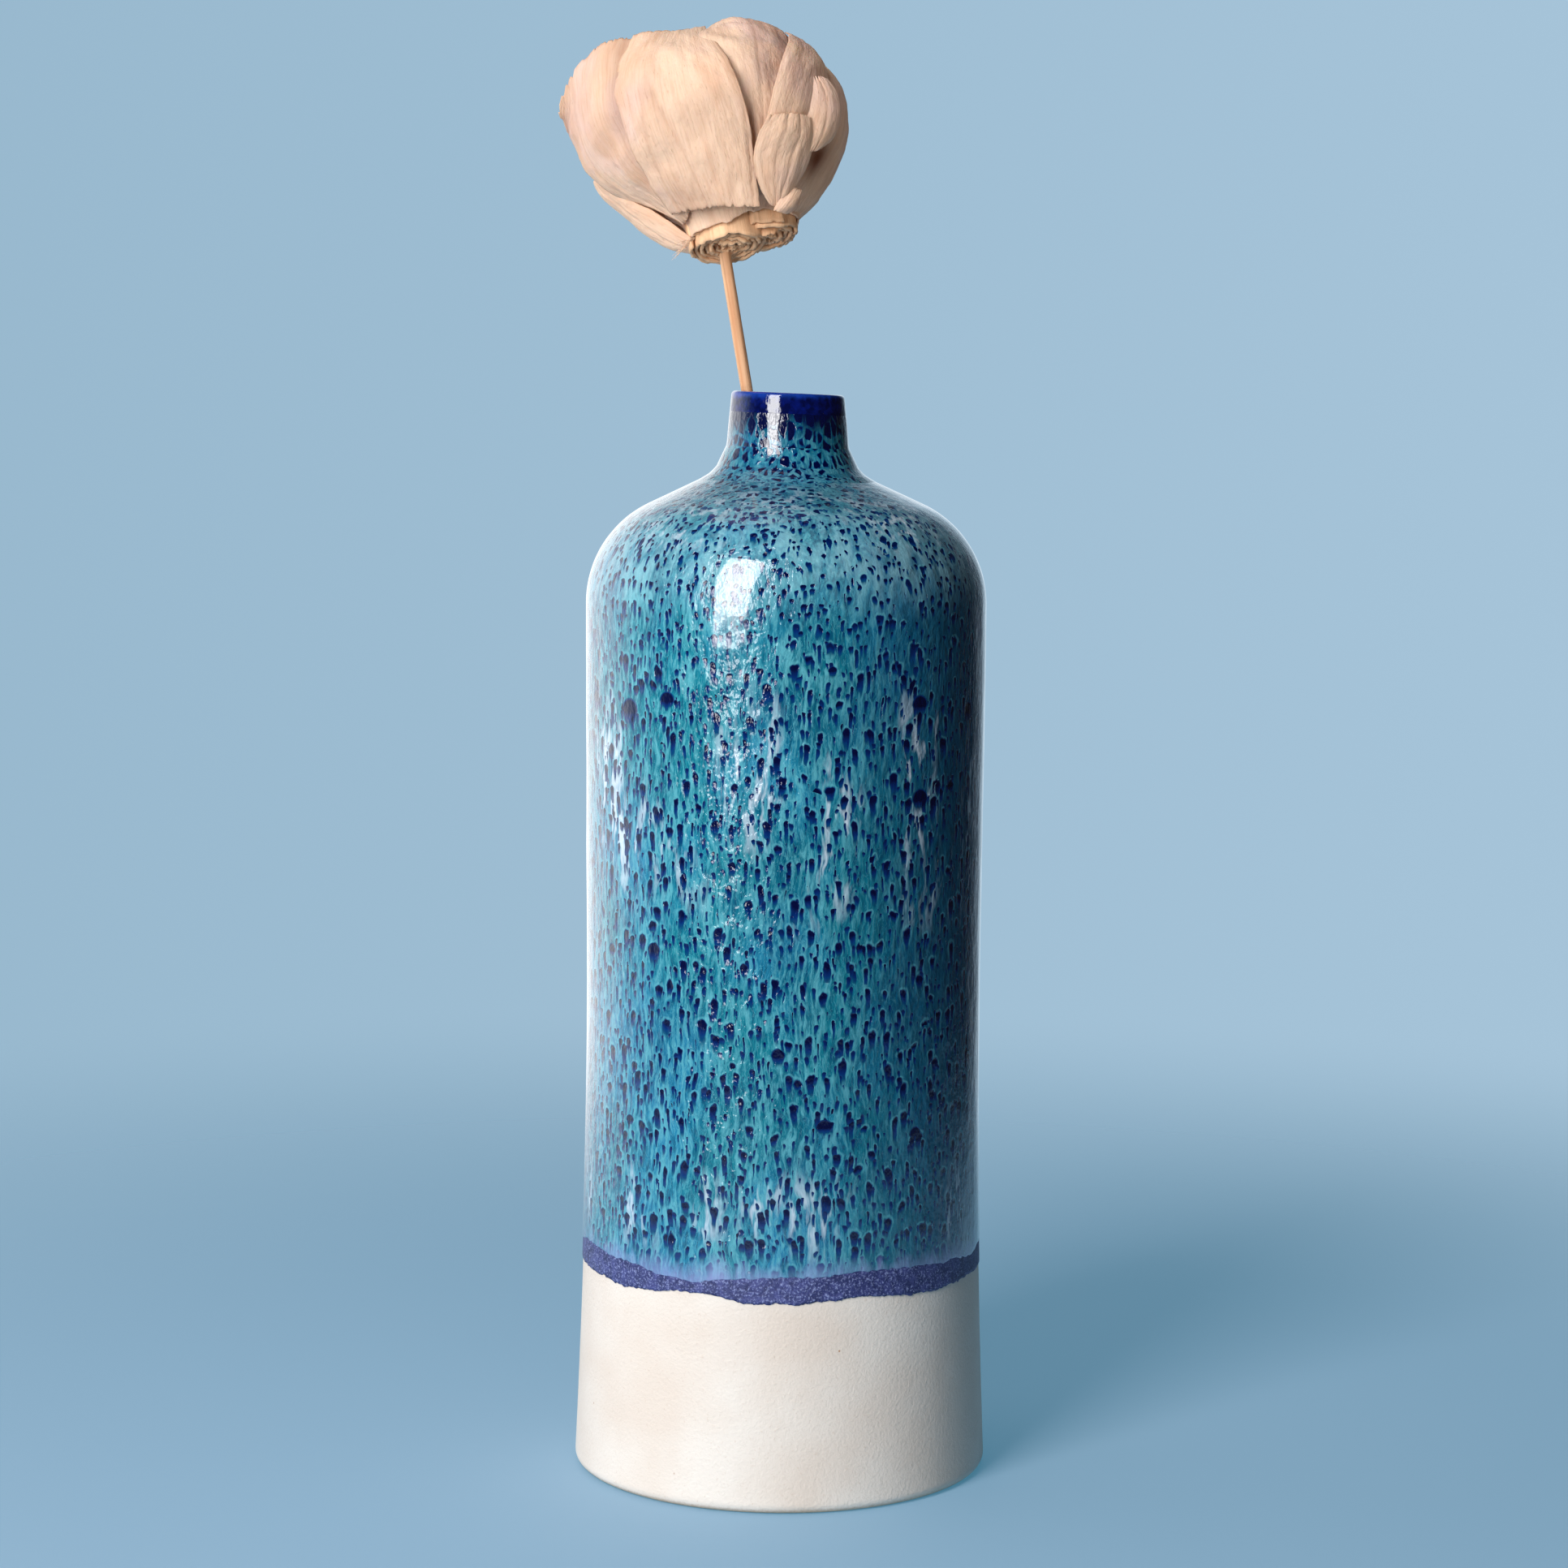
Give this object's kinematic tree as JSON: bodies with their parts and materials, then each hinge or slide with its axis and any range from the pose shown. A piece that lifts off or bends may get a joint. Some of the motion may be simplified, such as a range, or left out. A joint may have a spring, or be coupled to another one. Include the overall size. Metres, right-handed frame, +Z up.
{
  "type": "bud vase",
  "caption": "Bottle-shaped stoneware bud vase with streaked turquoise glaze over a bare clay foot, holding a dried shaved-wood flower on a thin stick.",
  "frame": {"origin": "centre of the flat foot, on the surface that the vase stands on", "axes": "+Z up along the vase, -Y towards the front, +X to the right seen from the front"},
  "size_m": [0.0805, 0.077, 0.2668],
  "materials": {
    "stoneware": "matte",
    "turquoise_glaze": "gloss",
    "cobalt_glaze": "gloss",
    "violet_glaze": "satin",
    "liner_glaze": "gloss",
    "bamboo": "matte",
    "wood_root": "matte",
    "wood_petal": "matte",
    "wood_petal_shade": "matte"
  },
  "bodies": {
    "vase": {"vase_body": "stoneware", "liner_glaze": "liner_glaze", "outer_glaze": "turquoise_glaze", "rim_glaze": "cobalt_glaze", "violet_band": "violet_glaze"},
    "stick": {"bamboo_stick": "bamboo"},
    "flower": {"root_roll_left": "wood_root", "root_roll_right": "wood_root", "bud_core": "wood_petal_shade", "inner_petal_front": "wood_petal_shade", "inner_petal_right": "wood_petal_shade", "inner_petal_left": "wood_petal_shade", "front_petal": "wood_petal", "wing_petal": "wood_petal", "second_petal": "wood_petal", "folded_petal": "wood_petal", "right_petal": "wood_petal", "rear_petal_right": "wood_petal", "rear_petal_middle": "wood_petal", "rear_petal_left": "wood_petal", "lower_left_petal": "wood_petal", "lower_right_petal": "wood_petal", "curled_petal": "wood_petal", "scale_petal": "wood_petal"}
  },
  "joints": [
    {"name": "stick_lift", "type": "slide", "parent": "vase", "child": "stick", "axis": [-0.1685, 0, 0.9857], "range_m": [0, 0.21]},
    {"name": "flower_turn", "type": "hinge", "parent": "stick", "child": "flower", "pos_m": [-0.01188, 0, 0.2256], "axis": [-0.1685, 0, 0.9857], "continuous": true}
  ]
}
